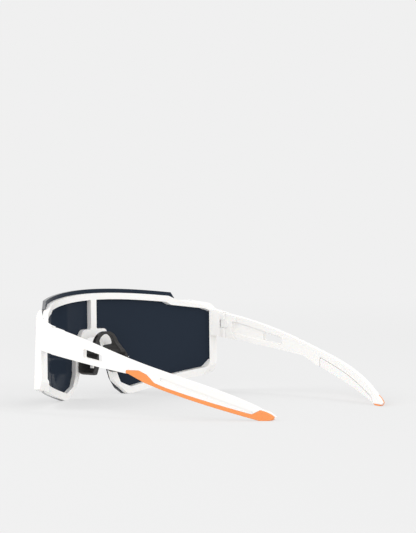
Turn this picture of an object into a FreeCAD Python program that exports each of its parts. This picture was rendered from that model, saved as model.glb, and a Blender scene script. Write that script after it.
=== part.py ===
import FreeCAD, Part
import math
import os

# Wraparound sport sunglasses: a white full-rim frame behind a one-piece shield lens, two folding
# temples with rubber grips, and a saddle nose pad. Millimetres.
# +X is the wearer's left, the lens faces -Y, the temples run to +Y, and +Z is up. While the pieces
# are made, y = 0 is the back of the frame at its middle and z = 0 is the surface they rest on;
# place() then moves each one so that the origin is under the middle of the whole object.

V = FreeCAD.Vector
ABOUT_X = FreeCAD.Rotation(V(1, 0, 0), 90)
ABOUT_DIAGONAL = FreeCAD.Rotation(V(1, 1, 1), 120)
X_MIRROR = V(1, 0, 0)
FAR = 120.0

# ------------------------------------------------------------------ front
FRONT_R = 88.0
FRAME_T = 2.7
LENS_T = 1.8
BROW_R = 345.0
LENS_TOP = 57.4
FRAME_TOP = 55.2
OPENING_TOP = 51.8
BAR_HALF = 2.2
LENS_END = 66.0

# ------------------------------------------------------------------ side bars and endpieces
LIP_X_FOOT = 58.7
LIP_X_BROW = 48.5
LIP_T = 1.0
BAR_INNER = 64.1
OPENING_END = 65.6
BAR_REAR = 27.3
BAR_REAR_X = 69.3
BAR_SLANT = 0.7
BAR_FRONT_X = 67.6
BAR_FRONT_FOOT = 19.8
BAR_FRONT_BROW = 23.2
BAR_HEIGHT = 60.0
SIDE_X = 70.5

# ------------------------------------------------------------------ hinge
HINGE_X = 67.9
HINGE_Y = 34.2
KNUCKLE_R = 1.5
KNUCKLE_LOW = 34.5
KNUCKLE_HIGH = 38.5
KNUCKLE_GAP = 0.1
SEAM_Y = 35.7
SEAM_GAP = 0.15
SLOT_REACH = 2.2
SCREW_R = 0.7
SCREW_CLEAR = 0.05
SCREW_HEAD_R = 1.2
SCREW_HEAD_T = 0.8
SCREW_TOP = 41.4
SCREW_END = 30.6

# ------------------------------------------------------------------ temples
TEMPLE_T = 3.2
ROOT_T = 4.1
TIP_T = 1.9
TAPER_START = 0.93
TEMPLE_END = 158.4
GRIP_T = 0.8
PAD_T = 0.9
RECESS_T = 0.7
CREASE_T = 0.5

OVERALL_FRONT = -(FRAME_T + LENS_T)
ORIGIN_Y = (OVERALL_FRONT + TEMPLE_END) / 2


def place(shape):
    """Move a finished piece so that the origin is under the middle of the object."""
    moved = shape.copy()
    moved.translate(V(0, -ORIGIN_Y, 0))
    return moved


def rounded_loop(corners):
    """Closed loop of straight runs with round corners; a corner is (u, v, radius)."""
    count = len(corners)
    points = [V(u, v, 0) for u, v, _ in corners]
    joins = []
    for i, (_, _, radius) in enumerate(corners):
        here = points[i]
        back = (points[i - 1] - here).normalize()
        ahead = (points[(i + 1) % count] - here).normalize()
        if radius == 0:
            joins.append((here, None, here))
            continue
        half = back.getAngle(ahead) / 2
        reach = radius / math.tan(half)
        inward = (back + ahead).normalize()
        middle = here + inward * (radius / math.sin(half) - radius)
        joins.append((here + back * reach, middle, here + ahead * reach))
    edges = []
    for i, (start, middle, end) in enumerate(joins):
        if middle is not None:
            edges.append(Part.Arc(start, middle, end).toShape())
        following = joins[(i + 1) % count][0]
        if end.distanceToPoint(following) > 1e-6:
            edges.append(Part.LineSegment(end, following).toShape())
    return Part.Wire(edges)


def swept(wire, rotation, direction, low, high):
    """Solid of a flat loop, turned by a rotation and pushed along a direction from low to high."""
    face = Part.Face(wire)
    face.Placement = FreeCAD.Placement(direction * low, rotation)
    return face.extrude(direction * (high - low))


def front_prism(corners, low=-FAR, high=FAR):
    """Solid whose front view is a loop of (x, z, radius) corners."""
    return swept(rounded_loop(corners), ABOUT_X, V(0, 1, 0), low, high)


def side_prism(corners, low=-FAR, high=FAR):
    """Solid whose side view is a loop of (y, z, radius) corners."""
    return swept(rounded_loop(corners), ABOUT_DIAGONAL, V(1, 0, 0), low, high)


def plan_prism(corners, low=-FAR, high=FAR):
    """Solid whose top view is a loop of (x, y, radius) corners."""
    return swept(rounded_loop(corners), FreeCAD.Rotation(), V(0, 0, 1), low, high)


def mirrored(shape):
    """The same piece on the other side of the object."""
    return shape.mirror(V(0, 0, 0), X_MIRROR)


def two_sided(corners):
    """Loop of corners on the +X side, continued by its mirror image."""
    return corners + [(-x, z, r) for x, z, r in reversed(corners)]


def column(radius, low, high, x=0.0, y=0.0):
    """Upright cylinder."""
    return Part.makeCylinder(radius, high - low, V(x, y, low))


def wrap(offset_in, offset_out):
    """Front wall bent about an upright axis, between two distances forward of the frame's back."""
    outer = column(FRONT_R + offset_out, -FAR, FAR, 0, FRONT_R)
    inner = column(FRONT_R + offset_in, -FAR, FAR, 0, FRONT_R)
    ahead = Part.makeBox(2 * FAR, 2 * FAR, 2 * FAR, V(-FAR, -2 * FAR + FRONT_R / 2, -FAR))
    return outer.cut(inner).common(ahead)


def wrap_y(offset, x):
    """Where the bent wall at that offset is, at a distance x from the middle."""
    return FRONT_R - math.sqrt((FRONT_R + offset) ** 2 - x * x)


def under_brow(top):
    """Everything under the arched brow line whose middle is at height top."""
    return Part.makeCylinder(BROW_R, 2 * FAR, V(0, -FAR, top - BROW_R), V(0, 1, 0))


# ------------------------------------------------------------------ outlines of the front
NOSE_SIDE = [(14.3, 7.6, 3.0), (10.5, 19.0, 6.0), (6.1, 31.8, 4.0)]
FRAME_LOOP = two_sided([(30.0, 61.1, 0), (50.8, 49.5, 2.0), (69.6, 49.5, 1.0), (69.6, 10.8, 0.8),
                        (68.0, 10.1, 2.0), (26.6, 0.3, 1.5), (23.2, 0.3, 1.5)] + NOSE_SIDE)
BAR_SIDE = [(-20.0, 80.0, 0), (16.2, 49.6, 2.0), (24.6, 47.0, 2.0), (27.7, 43.6, 0.5), (27.7, 15.6, 5.0),
            (24.2, 7.6, 1.0), (18.0, -5.0, 0), (-20.0, -5.0, 0)]
OPENING_LOOP = [(BAR_HALF, 58.0, 0), (45.2, 58.0, 0), (45.2, 48.6, 0.5), (47.4, 47.2, 1.0),
                (61.4, 45.0, 4.0), (OPENING_END, 43.0, 1.5), (OPENING_END, 17.8, 1.5), (62.4, 12.9, 2.0),
                (25.4, 3.8, 2.0), (18.8, 6.6, 2.0), (16.2, 12.5, 4.0), (15.8, 23.0, 5.0),
                (11.8, 31.5, 4.0), (8.6, 36.2, 3.0), (BAR_HALF, 36.2, 1.0)]
LENS_LOOP = two_sided([(49.2, 60.0, 0), (49.2, 53.9, 0.6), (51.4, 49.6, 0.6), (LENS_END, 45.6, 1.0),
                       (LENS_END, 13.4, 2.0), (60.6, 8.6, 1.0), (27.0, 0, 1.5), (23.0, 0, 1.5),
                       (18.4, 3.4, 3.0), (14.9, 8.8, 4.0), (11.2, 19.0, 6.0), (6.6, 32.6, 4.0)])


def shield_lens():
    """One-piece bent lens in front of the frame."""
    return front_prism(LENS_LOOP).common(under_brow(LENS_TOP)).common(wrap(FRAME_T, FRAME_T + LENS_T))


def side_bar():
    """Upright bar that wraps the end of the lens, with a lip that comes further round at the brow."""

    def section(lip_x, front_y, z):
        lens_y = wrap_y(FRAME_T + LENS_T, lip_x)
        half_x = (lip_x + OPENING_END) / 2
        corners = [(lip_x, lens_y - LIP_T), (BAR_FRONT_X, front_y), (BAR_REAR_X, BAR_REAR),
                   (BAR_INNER, BAR_REAR - BAR_SLANT), (OPENING_END, wrap_y(FRAME_T, OPENING_END)),
                   (half_x, wrap_y(FRAME_T + LENS_T / 2, half_x)), (lip_x, lens_y)]
        points = [V(x, y, z) for x, y in corners]
        return Part.makePolygon(points + points[:1])

    foot = section(LIP_X_FOOT, BAR_FRONT_FOOT, 0)
    brow = section(LIP_X_BROW, BAR_FRONT_BROW, BAR_HEIGHT)
    bar = Part.makeLoft([foot, brow], True, True)
    return bar.common(front_prism(FRAME_LOOP)).common(side_prism(BAR_SIDE))


def ahead_of_bars():
    """Room for the rim, which stops inside the side bars and doesn't stand out behind them."""
    rear = BAR_REAR - BAR_SLANT
    return plan_prism([(BAR_INNER + 1, -FAR, 0), (BAR_INNER + 1, rear, 0), (-BAR_INNER - 1, rear, 0),
                       (-BAR_INNER - 1, -FAR, 0)])


def endpiece():
    """Arm from the side bar back to the hinge, forked round the temple's knuckle."""
    plan = plan_prism([(66.4, 25.0, 0), (69.0, 25.0, 0), (SIDE_X, SEAM_Y - 2.0, 3.0), (SIDE_X, SEAM_Y, 0.3),
                       (HINGE_X - KNUCKLE_R, SEAM_Y, KNUCKLE_R), (HINGE_X - KNUCKLE_R, 32.2, 1.0),
                       (BAR_INNER + 0.1, BAR_REAR - BAR_SLANT, 0)])
    side = side_prism([(24.0, 45.2, 0), (SEAM_Y + 1, 42.0, 0), (SEAM_Y + 1, 28.7, 0), (24.0, 30.8, 0)])
    slot = Part.makeBox(10, 10, KNUCKLE_HIGH - KNUCKLE_LOW + 2 * KNUCKLE_GAP,
                        V(HINGE_X + KNUCKLE_R + 0.2 - 10, HINGE_Y - SLOT_REACH,
                          KNUCKLE_LOW - KNUCKLE_GAP))
    return plan.common(side).cut(slot)


def screw_hole():
    """Room for the hinge screw, with its sunk head."""
    shaft = column(SCREW_R + SCREW_CLEAR, SCREW_END - 0.2, 60, HINGE_X, HINGE_Y)
    head = column(SCREW_HEAD_R + SCREW_CLEAR, SCREW_TOP - SCREW_HEAD_T, 60, HINGE_X, HINGE_Y)
    return shaft.fuse(head)


def hinge_screw():
    """Upright screw through the fork and the knuckle."""
    shaft = column(SCREW_R, SCREW_END, SCREW_TOP - SCREW_HEAD_T, HINGE_X, HINGE_Y)
    head = column(SCREW_HEAD_R, SCREW_TOP - SCREW_HEAD_T, SCREW_TOP, HINGE_X, HINGE_Y)
    slot = Part.makeBox(4, 0.4, 0.4, V(HINGE_X - 2, HINGE_Y - 0.2, SCREW_TOP - 0.4))
    return shaft.fuse(head).cut(slot)


def nose_tongue():
    """Hooked tongue behind the rim, whose end shows through a slit in one pad of the nose saddle."""
    hook = [(12.2, -0.2, 0), (13.6, -0.2, 0), (12.8, 9.9, 0.3), (14.2, 10.0, 0.3), (14.2, 12.4, 0.3),
            (11.6, 12.4, 0.3)]
    return plan_prism(hook, 16.8, 21.4)


def front_frame(lens):
    """White rim with its two openings, side bars, endpieces and nose tongues, in one moulding."""
    rim = front_prism(FRAME_LOOP).common(under_brow(FRAME_TOP)).common(wrap(0, FRAME_T))
    rim = rim.common(side_prism(BAR_SIDE))
    opening = front_prism(OPENING_LOOP).common(under_brow(OPENING_TOP))
    rim = rim.cut(opening).cut(mirrored(opening)).common(ahead_of_bars())
    side = side_bar().fuse(endpiece()).cut(lens).cut(screw_hole()).fuse(nose_tongue())
    return rim.fuse([side, mirrored(side)])


def nose_saddle(frame):
    """Rubber saddle: a narrow arch that stands behind the frame, and two deep pads under its ends."""
    arch = front_prism(two_sided([(9.1, 35.3, 8.8), (9.6, 26.0, 6.0), (13.8, 20.0, 3.0), (13.8, 12.8, 2.0),
                                  (8.8, 12.8, 2.0), (7.6, 21.0, 4.0), (6.2, 27.4, 2.0), (6.2, 33.9, 6.0)]))
    side = side_prism([(6.9, 40.0, 0), (6.9, 28.4, 0.8), (0.2, 27.2, 1.0), (0.2, 14.6, 1.0),
                       (4.0, 12.0, 2.0), (11.0, 12.4, 2.5), (13.2, 17.0, 3.0), (13.2, 25.0, 3.0),
                       (9.2, 29.6, 3.0), (9.2, 40.0, 0)])
    gap = plan_prism(two_sided([(7.0, 0, 0), (10.6, 14.0, 0)]))
    low_gap = gap.common(Part.makeBox(60, 60, 24, V(-30, -10, 0)))
    return arch.common(side).cut(low_gap).cut(frame)


# ------------------------------------------------------------------ temples
def spline(points):
    """Smooth flat curve through (u, v) points."""
    curve = Part.BSplineCurve()
    curve.interpolate([V(u, v, 0) for u, v in points])
    return curve


FRONT_FACE_Y = SEAM_Y + SEAM_GAP
TEMPLE_OUTER = spline([(SIDE_X, FRONT_FACE_Y - 4), (72.7, 60.0), (72.4, 80.0), (69.5, 100.0), (64.2, 120.0),
                       (55.6, 140.0), (44.0, TEMPLE_END + 1.8)])
TEMPLE_UPPER = [(FRONT_FACE_Y, 42.0), (66.0, 34.9), (97.0, 25.6), (125.0, 17.2), (146.0, 8.7), (153.0, 5.0)]
TEMPLE_LOWER = [(152.0, 0), (107.0, 13.9), (97.0, 17.3), (88.0, 21.4), (FRONT_FACE_Y, 28.8)]


def inside_of(curve, depth):
    """The curve moved inwards by a depth."""
    steps = 12
    first, last = curve.FirstParameter, curve.LastParameter
    points = []
    for i in range(steps + 1):
        at = first + (last - first) * i / steps
        along = curve.tangent(at)[0]
        here = curve.value(at)
        points.append((here.x - along.y * depth, here.y + along.x * depth))
    return spline(points)


def layer(depth_in, depth_out):
    """Upright sheet that follows the temple's bend, between two depths under its outer face."""
    outer = inside_of(TEMPLE_OUTER, depth_in) if depth_in else TEMPLE_OUTER
    inner = inside_of(TEMPLE_OUTER, depth_out)
    a, b = outer.value(outer.FirstParameter), outer.value(outer.LastParameter)
    c, d = inner.value(inner.FirstParameter), inner.value(inner.LastParameter)
    wire = Part.Wire([outer.toShape(), Part.LineSegment(b, d).toShape(), inner.toShape(),
                      Part.LineSegment(c, a).toShape()])
    return swept(wire, FreeCAD.Rotation(), V(0, 0, 1), -FAR, FAR)


def temple_side():
    """Everything within the temple's side view."""
    upper = spline(TEMPLE_UPPER).toShape()
    end = V(*TEMPLE_UPPER[-1], 0)
    tip = V(TEMPLE_END, 1.9, 0)
    low = V(*TEMPLE_LOWER[0], 0)
    heel = V(155.6, 0, 0)
    heel_r = ((tip.x - heel.x) ** 2 + tip.y ** 2) / (2 * tip.y)
    half_turn = math.atan2(tip.x - heel.x, heel_r - tip.y) / 2
    heel_middle = V(heel.x + heel_r * math.sin(half_turn), heel_r - heel_r * math.cos(half_turn), 0)
    round_tip = Part.Arc(end, V(156.6, 3.4, 0), tip).toShape()
    round_heel = Part.Arc(tip, heel_middle, heel).toShape()
    sole = Part.LineSegment(heel, low).toShape()
    points = [V(y, z, 0) for y, z in TEMPLE_LOWER]
    under = [Part.LineSegment(p, q).toShape() for p, q in zip(points, points[1:])]
    front = Part.LineSegment(points[-1], V(*TEMPLE_UPPER[0], 0)).toShape()
    wire = Part.Wire([upper, round_tip, round_heel, sole] + under + [front])
    return swept(wire, ABOUT_DIAGONAL, V(1, 0, 0), -FAR, FAR)


def knuckle():
    """Round lug of the temple between the fork's two lugs."""
    inner, outer = HINGE_X - KNUCKLE_R, HINGE_X + KNUCKLE_R
    front = HINGE_Y - KNUCKLE_R
    return plan_prism([(inner, FRONT_FACE_Y + 1, 0), (inner, front, 0.4), (outer, front, KNUCKLE_R),
                       (outer, FRONT_FACE_Y + 1, 0)], KNUCKLE_LOW, KNUCKLE_HIGH)


WINDOW = [(59.4, 32.7, 0.8), (59.2, 28.3, 0.8), (71.9, 26.5, 0.5), (71.9, 29.9, 0.5)]
RECESS = [(39.8, 38.2, 0.8), (39.8, 31.4, 0.8), (72.6, 25.9, 0.8), (72.6, 30.2, 0.8)]
GRIP = [(86.6, 23.3, 0.8), (94.2, 23.3, 1.5), (98.6, 21.4, 1.5), (102.8, 17.4, 1.5), (109.0, 15.2, 3.0),
        (149.0, 3.2, 1.0), (155.0, 6.6, 0), (170.0, 6.6, 0), (170.0, -5.0, 0), (86.6, -5.0, 0)]
SOLE = [(150.4, 0.9, 0), (170.0, 0.9, 0), (170.0, -5.0, 0), (150.4, -5.0, 0)]
PAD_SEAT = [(100.6, 21.4, 0.8), (126.5, 12.8, 20.0), (148.3, 4.1, 1.0), (151.5, -5, 0), (100.6, -5, 0)]
PAD = [(101.0, 20.9, 0.8), (126.5, 12.3, 20.0), (148.0, 3.6, 1.0), (151.0, -5, 0), (101.0, -5, 0)]
CREASE = [(106.0, 20.2, 0.5), (128.0, 12.8, 20.0), (149.8, 4.4, 0.3), (149.2, 3.2, 0.3),
          (127.6, 11.2, 20.0), (105.6, 18.6, 0.5)]


def tip_taper():
    """What is cut away inside the last stretch of the temple, so that it thins towards its tip."""
    inner = inside_of(TEMPLE_OUTER, TEMPLE_T)
    thin = inside_of(TEMPLE_OUTER, TIP_T)
    start = inner.value(inner.LastParameter * TAPER_START)
    end = thin.value(thin.LastParameter)
    return plan_prism([(start.x, start.y, 0), (end.x, end.y, 0), (start.x - TEMPLE_T * 5, end.y, 0)])


def left_temple():
    """The left temple's three pieces: arm, outer grip and inner ear pad."""
    side = temple_side()
    blade = layer(0, TEMPLE_T).common(side)
    root_end = side_prism([(0, 60, 0), (44, 60, 0), (39.8, 20, 0), (0, 20, 0)])
    root = layer(0, ROOT_T).common(side).common(root_end)
    ahead = Part.makeBox(2 * FAR, 2 * FAR, 2 * FAR, V(0, FRONT_FACE_Y - 2 * FAR, -FAR))
    whole = blade.fuse(root).cut(ahead).cut(tip_taper())
    recess = layer(TEMPLE_T - RECESS_T, TEMPLE_T + 2).common(side_prism(RECESS))
    whole = whole.cut(recess).cut(side_prism(WINDOW)).fuse(knuckle())
    whole = whole.cut(column(SCREW_R + SCREW_CLEAR, 0, 60, HINGE_X, HINGE_Y))
    whole = whole.cut(layer(-1, CREASE_T).common(side_prism(CREASE)))
    grip = whole.common(layer(-1, GRIP_T).common(side_prism(GRIP)).fuse(side_prism(SOLE)))
    seat = layer(TEMPLE_T - PAD_T, TEMPLE_T + 1).common(side_prism(PAD_SEAT))
    pad = whole.common(seat).common(side_prism(PAD)).cut(grip)
    arm = whole.cut(grip).cut(seat)
    return arm, grip, pad


def build():
    """Every piece by its node name."""
    lens = shield_lens()
    frame = front_frame(lens)
    arm, grip, pad = left_temple()
    screw = hinge_screw()
    pieces = {"front_frame": frame, "shield_lens": lens, "nose_saddle": nose_saddle(frame)}
    for name, shape in (("temple", arm), ("ear_grip", grip), ("ear_pad", pad), ("hinge_screw", screw)):
        pieces[name + "_left"] = shape
        pieces[name + "_right"] = mirrored(shape)
    return pieces


os.makedirs("parts", exist_ok=True)
for node, piece in build().items():
    placed = place(piece)
    placed.exportStep(f"parts/{node}.step")
    box = placed.BoundBox
    print(f"{node}: {len(placed.Solids)} solid, valid {placed.isValid()}, {placed.Volume:.0f} mm3")
    print(f"  {box.XLength:.1f} x {box.YLength:.1f} x {box.ZLength:.1f} mm")
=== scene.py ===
import math

import bmesh
import bpy
from mathutils import Matrix, Vector


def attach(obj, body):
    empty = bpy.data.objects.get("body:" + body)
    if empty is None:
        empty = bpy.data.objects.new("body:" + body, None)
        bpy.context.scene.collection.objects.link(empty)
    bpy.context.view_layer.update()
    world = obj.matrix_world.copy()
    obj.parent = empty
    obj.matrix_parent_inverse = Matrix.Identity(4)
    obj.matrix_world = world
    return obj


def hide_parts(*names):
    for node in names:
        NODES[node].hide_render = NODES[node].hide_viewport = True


# Looks of a pair of wraparound sport sunglasses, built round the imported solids. Metres.

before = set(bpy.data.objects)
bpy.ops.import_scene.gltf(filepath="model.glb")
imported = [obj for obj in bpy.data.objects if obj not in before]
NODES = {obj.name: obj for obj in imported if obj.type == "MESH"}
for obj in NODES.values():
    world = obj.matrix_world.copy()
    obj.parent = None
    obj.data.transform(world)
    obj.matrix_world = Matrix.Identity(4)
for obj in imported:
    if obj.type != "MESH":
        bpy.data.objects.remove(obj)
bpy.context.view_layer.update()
MM = 0.001

# ------------------------------------------------------------------ colours (linear)
WHITE = (0.88, 0.868, 0.85)
LENS_INNER = (0.020, 0.028, 0.042)
LENS_OUTER = (0.008, 0.011, 0.019)
BLACK = (0.014, 0.0125, 0.012)
CORAL = (0.86, 0.29, 0.078)
SOFT_WHITE = (0.86, 0.848, 0.83)
STEEL = (0.56, 0.56, 0.57)
FLOOR = (0.68, 0.68, 0.68)
WHITE_LIGHT = (1, 1, 1, 1)
CORAL_DRIFT = 0.04

# ------------------------------------------------------------------ finishes
FRAME_EDGE = 0.3 * MM
TEMPLE_EDGE = 0.28 * MM
LENS_EDGE = 0.3 * MM
SCREW_EDGE = 0.08 * MM
RIB_PITCH = 1.9 * MM
RIB_HEIGHT = 0.12 * MM
SADDLE_VOXEL = 0.22 * MM
INLAY_VOXEL = 0.2 * MM
SADDLE_SMOOTHING = 6
INLAY_SMOOTHING = 2
COATED_SIDE_FROM = 0.2      # a lens face whose normal points more than this to +Y is coated

# ------------------------------------------------------------------ stage
BACKGROUND = 0.871
FLOOR_RADIUS = 6.0
FLOOR_GLOW = 0.6            # share of the floor's brightness near the object that is its own
FADE_START = 0.3
FADE_END = 1.0
AIM = Vector((0, 0, 0.02))
LIGHTS = [                  # name, place, diameter, watts
    ("overhead softbox", (-0.5, 0.3, 1.6), 0.6, 3.5),
    ("camera side fill", (1.6, 1.0, 0.5), 1.0, 8.0),
    ("high front light", (0.9, -1.1, 1.1), 1.0, 11.0),
    ("rear light", (-0.3, 1.9, 0.7), 1.0, 6.5),
]

# ------------------------------------------------------------------ camera
CAMERA_AT = Vector((1.02599, 0.86428, 0.12853))
HEADING = math.radians(130.0147)
PITCH_DOWN = math.radians(2.4505)
ROLL = math.radians(-0.5405)
FOCAL_LENGTH = 176.54
SENSOR_WIDTH = 36.0


# ------------------------------------------------------------------ materials
def material(name, colour, roughness, **inputs):
    """A new principled material; further inputs are set by their socket names."""
    mat = bpy.data.materials.new(name)
    mat.use_nodes = True
    shader = mat.node_tree.nodes["Principled BSDF"]
    shader.inputs["Base Color"].default_value = (*colour, 1)
    shader.inputs["Roughness"].default_value = roughness
    for key, value in inputs.items():
        shader.inputs[key.replace("_", " ")].default_value = value
    return mat


def noise_of(mat, scale, detail=3.0, stretch=(1, 1, 1)):
    """Noise over the object's own coordinates, in metres."""
    tree = mat.node_tree
    coords = tree.nodes.new("ShaderNodeTexCoord")
    mapping = tree.nodes.new("ShaderNodeMapping")
    mapping.inputs["Scale"].default_value = stretch
    noise = tree.nodes.new("ShaderNodeTexNoise")
    noise.inputs["Scale"].default_value = scale
    noise.inputs["Detail"].default_value = detail
    tree.links.new(coords.outputs["Object"], mapping.inputs["Vector"])
    tree.links.new(mapping.outputs["Vector"], noise.inputs["Vector"])
    return noise


def relief(mat, pattern, height):
    """Bumps that follow a pattern's Fac output; height is in metres."""
    tree = mat.node_tree
    bump = tree.nodes.new("ShaderNodeBump")
    bump.inputs["Strength"].default_value = 1.0
    bump.inputs["Distance"].default_value = height
    tree.links.new(pattern.outputs["Fac"], bump.inputs["Height"])
    tree.links.new(bump.outputs["Normal"], tree.nodes["Principled BSDF"].inputs["Normal"])


def grain(mat, scale, height, stretch=(1, 1, 1)):
    """Fine surface relief."""
    relief(mat, noise_of(mat, scale, stretch=stretch), height)


def ribbed(mat, pitch, height):
    """Fine level ribs, one above another; pitch and height are in metres."""
    tree = mat.node_tree
    coords = tree.nodes.new("ShaderNodeTexCoord")
    wave = tree.nodes.new("ShaderNodeTexWave")
    wave.wave_type = "BANDS"
    wave.bands_direction = "Z"
    wave.inputs["Scale"].default_value = math.pi / (10 * pitch)
    tree.links.new(coords.outputs["Object"], wave.inputs["Vector"])
    relief(mat, wave, height)


def vary_roughness(mat, scale, low, high):
    """Slightly uneven sheen, between two roughness values."""
    tree = mat.node_tree
    noise = noise_of(mat, scale, detail=4.0)
    spread = tree.nodes.new("ShaderNodeMapRange")
    spread.inputs["From Min"].default_value = 0.3
    spread.inputs["From Max"].default_value = 0.7
    spread.inputs["To Min"].default_value = low
    spread.inputs["To Max"].default_value = high
    tree.links.new(noise.outputs["Fac"], spread.inputs["Value"])
    tree.links.new(spread.outputs["Result"], tree.nodes["Principled BSDF"].inputs["Roughness"])


def vary_colour(mat, scale, first, second):
    """Base colour that drifts a little between two tones."""
    tree = mat.node_tree
    noise = noise_of(mat, scale)
    mix = tree.nodes.new("ShaderNodeMix")
    mix.data_type = "RGBA"
    mix.inputs["A"].default_value = (*first, 1)
    mix.inputs["B"].default_value = (*second, 1)
    tree.links.new(noise.outputs["Fac"], mix.inputs["Factor"])
    tree.links.new(mix.outputs["Result"], tree.nodes["Principled BSDF"].inputs["Base Color"])


def toned(colour, factor):
    """The colour made a little darker or lighter."""
    return tuple(c * factor for c in colour)


white = material("white plastic", WHITE, 0.33, Subsurface_Weight=0.12, Subsurface_Scale=0.0012,
                 Subsurface_Radius=(1.0, 0.8, 0.6), IOR=1.5)
vary_roughness(white, 140.0, 0.30, 0.38)
grain(white, 2600.0, 0.000012)

lens_inner = material("lens, coated inner side", LENS_INNER, 0.06, IOR=1.1)
vary_roughness(lens_inner, 60.0, 0.05, 0.08)
lens_outer = material("lens, glossy outer side", LENS_OUTER, 0.04, IOR=1.5)
vary_roughness(lens_outer, 60.0, 0.03, 0.06)

rubber = material("black rubber", BLACK, 0.42, IOR=1.5)
vary_roughness(rubber, 420.0, 0.34, 0.52)
ribbed(rubber, RIB_PITCH, RIB_HEIGHT)

coral = material("coral rubber", CORAL, 0.48, Subsurface_Weight=0.15, Subsurface_Scale=0.001,
                 Subsurface_Radius=(1.0, 0.5, 0.3), IOR=1.48)
vary_colour(coral, 90.0, toned(CORAL, 1 - CORAL_DRIFT), toned(CORAL, 1 + CORAL_DRIFT))
grain(coral, 3000.0, 0.00002)

soft = material("white rubber", SOFT_WHITE, 0.55, Subsurface_Weight=0.12, Subsurface_Scale=0.001, IOR=1.48)
grain(soft, 3000.0, 0.00002)

steel = material("screw steel", STEEL, 0.28, Metallic=1.0)
grain(steel, 900.0, 0.00001, stretch=(1, 1, 14))


# ------------------------------------------------------------------ finishing the solids
def paint(obj, mat):
    """One material all over, in the mesh's one material slot."""
    obj.data.materials.clear()
    obj.data.materials.append(mat)
    for face in obj.data.polygons:
        face.material_index = 0


def bevelled(obj, width, segments=3, angle=32):
    """Rounds a solid's sharp edges."""
    obj.data.polygons.foreach_set("use_smooth", [True] * len(obj.data.polygons))
    bevel = obj.modifiers.new("round edges", "BEVEL")
    bevel.width = width
    bevel.segments = segments
    bevel.limit_method = "ANGLE"
    bevel.angle_limit = math.radians(angle)
    bevel.harden_normals = True
    bevel.use_clamp_overlap = True


for node, edge in (("front_frame", FRAME_EDGE), ("temple_left", TEMPLE_EDGE), ("temple_right", TEMPLE_EDGE)):
    paint(NODES[node], white)
    bevelled(NODES[node], edge)


def face_lens(obj):
    """Coated inner faces and glossy outer faces; the inner ones look back at the wearer."""
    paint(obj, lens_outer)
    obj.data.materials.append(lens_inner)
    to_world = obj.matrix_world.to_3x3()
    for face in obj.data.polygons:
        if (to_world @ face.normal).y > COATED_SIDE_FROM:
            face.material_index = 1


face_lens(NODES["shield_lens"])
bevelled(NODES["shield_lens"], LENS_EDGE)
for side in ("left", "right"):
    paint(NODES["hinge_screw_" + side], steel)
    bevelled(NODES["hinge_screw_" + side], SCREW_EDGE, 2)


def soft_copy(name, node, body, mat, voxel, rounds):
    """A rounded soft piece that stands for a CAD node: its solid, remeshed finely and smoothed."""
    mesh = NODES[node].data.copy()
    obj = bpy.data.objects.new(name, mesh)
    bpy.context.scene.collection.objects.link(obj)
    work = bmesh.new()
    work.from_mesh(mesh)
    bmesh.ops.remove_doubles(work, verts=work.verts, dist=1e-7)
    work.to_mesh(mesh)
    work.free()
    remesh = obj.modifiers.new("fine", "REMESH")
    remesh.mode = "VOXEL"
    remesh.voxel_size = voxel
    remesh.use_smooth_shade = True
    relax = obj.modifiers.new("relax", "SMOOTH")
    relax.factor = 0.5
    relax.iterations = rounds
    done = bpy.data.meshes.new_from_object(obj.evaluated_get(bpy.context.evaluated_depsgraph_get()))
    obj.modifiers.clear()
    obj.data = done
    paint(obj, mat)
    done.polygons.foreach_set("use_smooth", [True] * len(done.polygons))
    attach(obj, body)
    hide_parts(node)


soft_copy("nose_saddle_rubber", "nose_saddle", "front", rubber, SADDLE_VOXEL,
          SADDLE_SMOOTHING)
for side in ("left", "right"):
    arm = side + "_arm"
    soft_copy("ear_grip_rubber_" + side, "ear_grip_" + side, arm, coral, INLAY_VOXEL,
              INLAY_SMOOTHING)
    soft_copy("ear_pad_rubber_" + side, "ear_pad_" + side, arm, soft, INLAY_VOXEL,
              INLAY_SMOOTHING)


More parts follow.
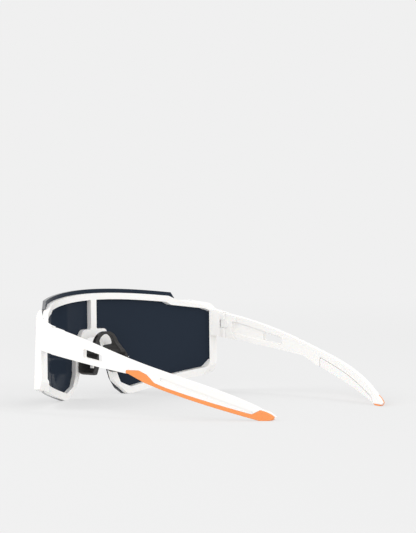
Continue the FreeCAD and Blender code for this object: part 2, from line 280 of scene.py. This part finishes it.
# ------------------------------------------------------------------ floor, light and camera
def floor():
    """Plain pale floor. Far from the object it glows as brightly as the sky, so no horizon shows."""
    bpy.ops.mesh.primitive_circle_add(vertices=128, radius=FLOOR_RADIUS, fill_type="NGON")
    plane = bpy.context.object
    plane.name = "floor"
    mat = material("floor", FLOOR, 0.9, Specular_IOR_Level=0.0)
    tree = mat.node_tree
    coords = tree.nodes.new("ShaderNodeTexCoord")
    away = tree.nodes.new("ShaderNodeVectorMath")
    away.operation = "LENGTH"
    fade = tree.nodes.new("ShaderNodeMapRange")
    fade.interpolation_type = "SMOOTHSTEP"
    fade.inputs["From Min"].default_value = FADE_START
    fade.inputs["From Max"].default_value = FADE_END
    fade.inputs["To Min"].default_value = FLOOR_GLOW
    glow = tree.nodes.new("ShaderNodeEmission")
    glow.inputs["Color"].default_value = WHITE_LIGHT
    glow.inputs["Strength"].default_value = BACKGROUND
    mix = tree.nodes.new("ShaderNodeMixShader")
    tree.links.new(coords.outputs["Object"], away.inputs[0])
    tree.links.new(away.outputs["Value"], fade.inputs["Value"])
    tree.links.new(fade.outputs["Result"], mix.inputs["Fac"])
    tree.links.new(tree.nodes["Principled BSDF"].outputs["BSDF"], mix.inputs[1])
    tree.links.new(glow.outputs["Emission"], mix.inputs[2])
    tree.links.new(mix.outputs["Shader"], tree.nodes["Material Output"].inputs["Surface"])
    plane.data.materials.append(mat)


def studio():
    """Even white surroundings."""
    world = bpy.data.worlds.new("studio")
    world.use_nodes = True
    sky = world.node_tree.nodes["Background"]
    sky.inputs["Color"].default_value = WHITE_LIGHT
    sky.inputs["Strength"].default_value = BACKGROUND
    bpy.context.scene.world = world


def area_light(name, place, size, power):
    """Round soft light that faces the object."""
    data = bpy.data.lights.new(name, "AREA")
    data.shape = "DISK"
    data.size = size
    data.energy = power
    light = bpy.data.objects.new(name, data)
    bpy.context.scene.collection.objects.link(light)
    light.location = place
    light.rotation_euler = (AIM - Vector(place)).to_track_quat("-Z", "Y").to_euler()


def add_camera():
    """Camera at the angle of the reference view."""
    data = bpy.data.cameras.new("camera")
    data.lens = FOCAL_LENGTH
    data.sensor_width = SENSOR_WIDTH
    data.clip_start = 0.05
    data.clip_end = 50.0
    camera = bpy.data.objects.new("camera", data)
    bpy.context.scene.collection.objects.link(camera)
    ahead = Vector((-math.sin(HEADING) * math.cos(PITCH_DOWN), math.cos(HEADING) * math.cos(PITCH_DOWN),
                    -math.sin(PITCH_DOWN)))
    level = ahead.cross(Vector((0, 0, 1))).normalized()
    upright = level.cross(ahead)
    right = level * math.cos(ROLL) + upright * math.sin(ROLL)
    up = upright * math.cos(ROLL) - level * math.sin(ROLL)
    turn = Matrix((right, up, -ahead)).transposed().to_4x4()
    camera.matrix_world = Matrix.Translation(CAMERA_AT) @ turn
    bpy.context.scene.camera = camera


floor()
studio()
for light in LIGHTS:
    area_light(*light)
add_camera()
bpy.context.scene.view_settings.view_transform = "Standard"
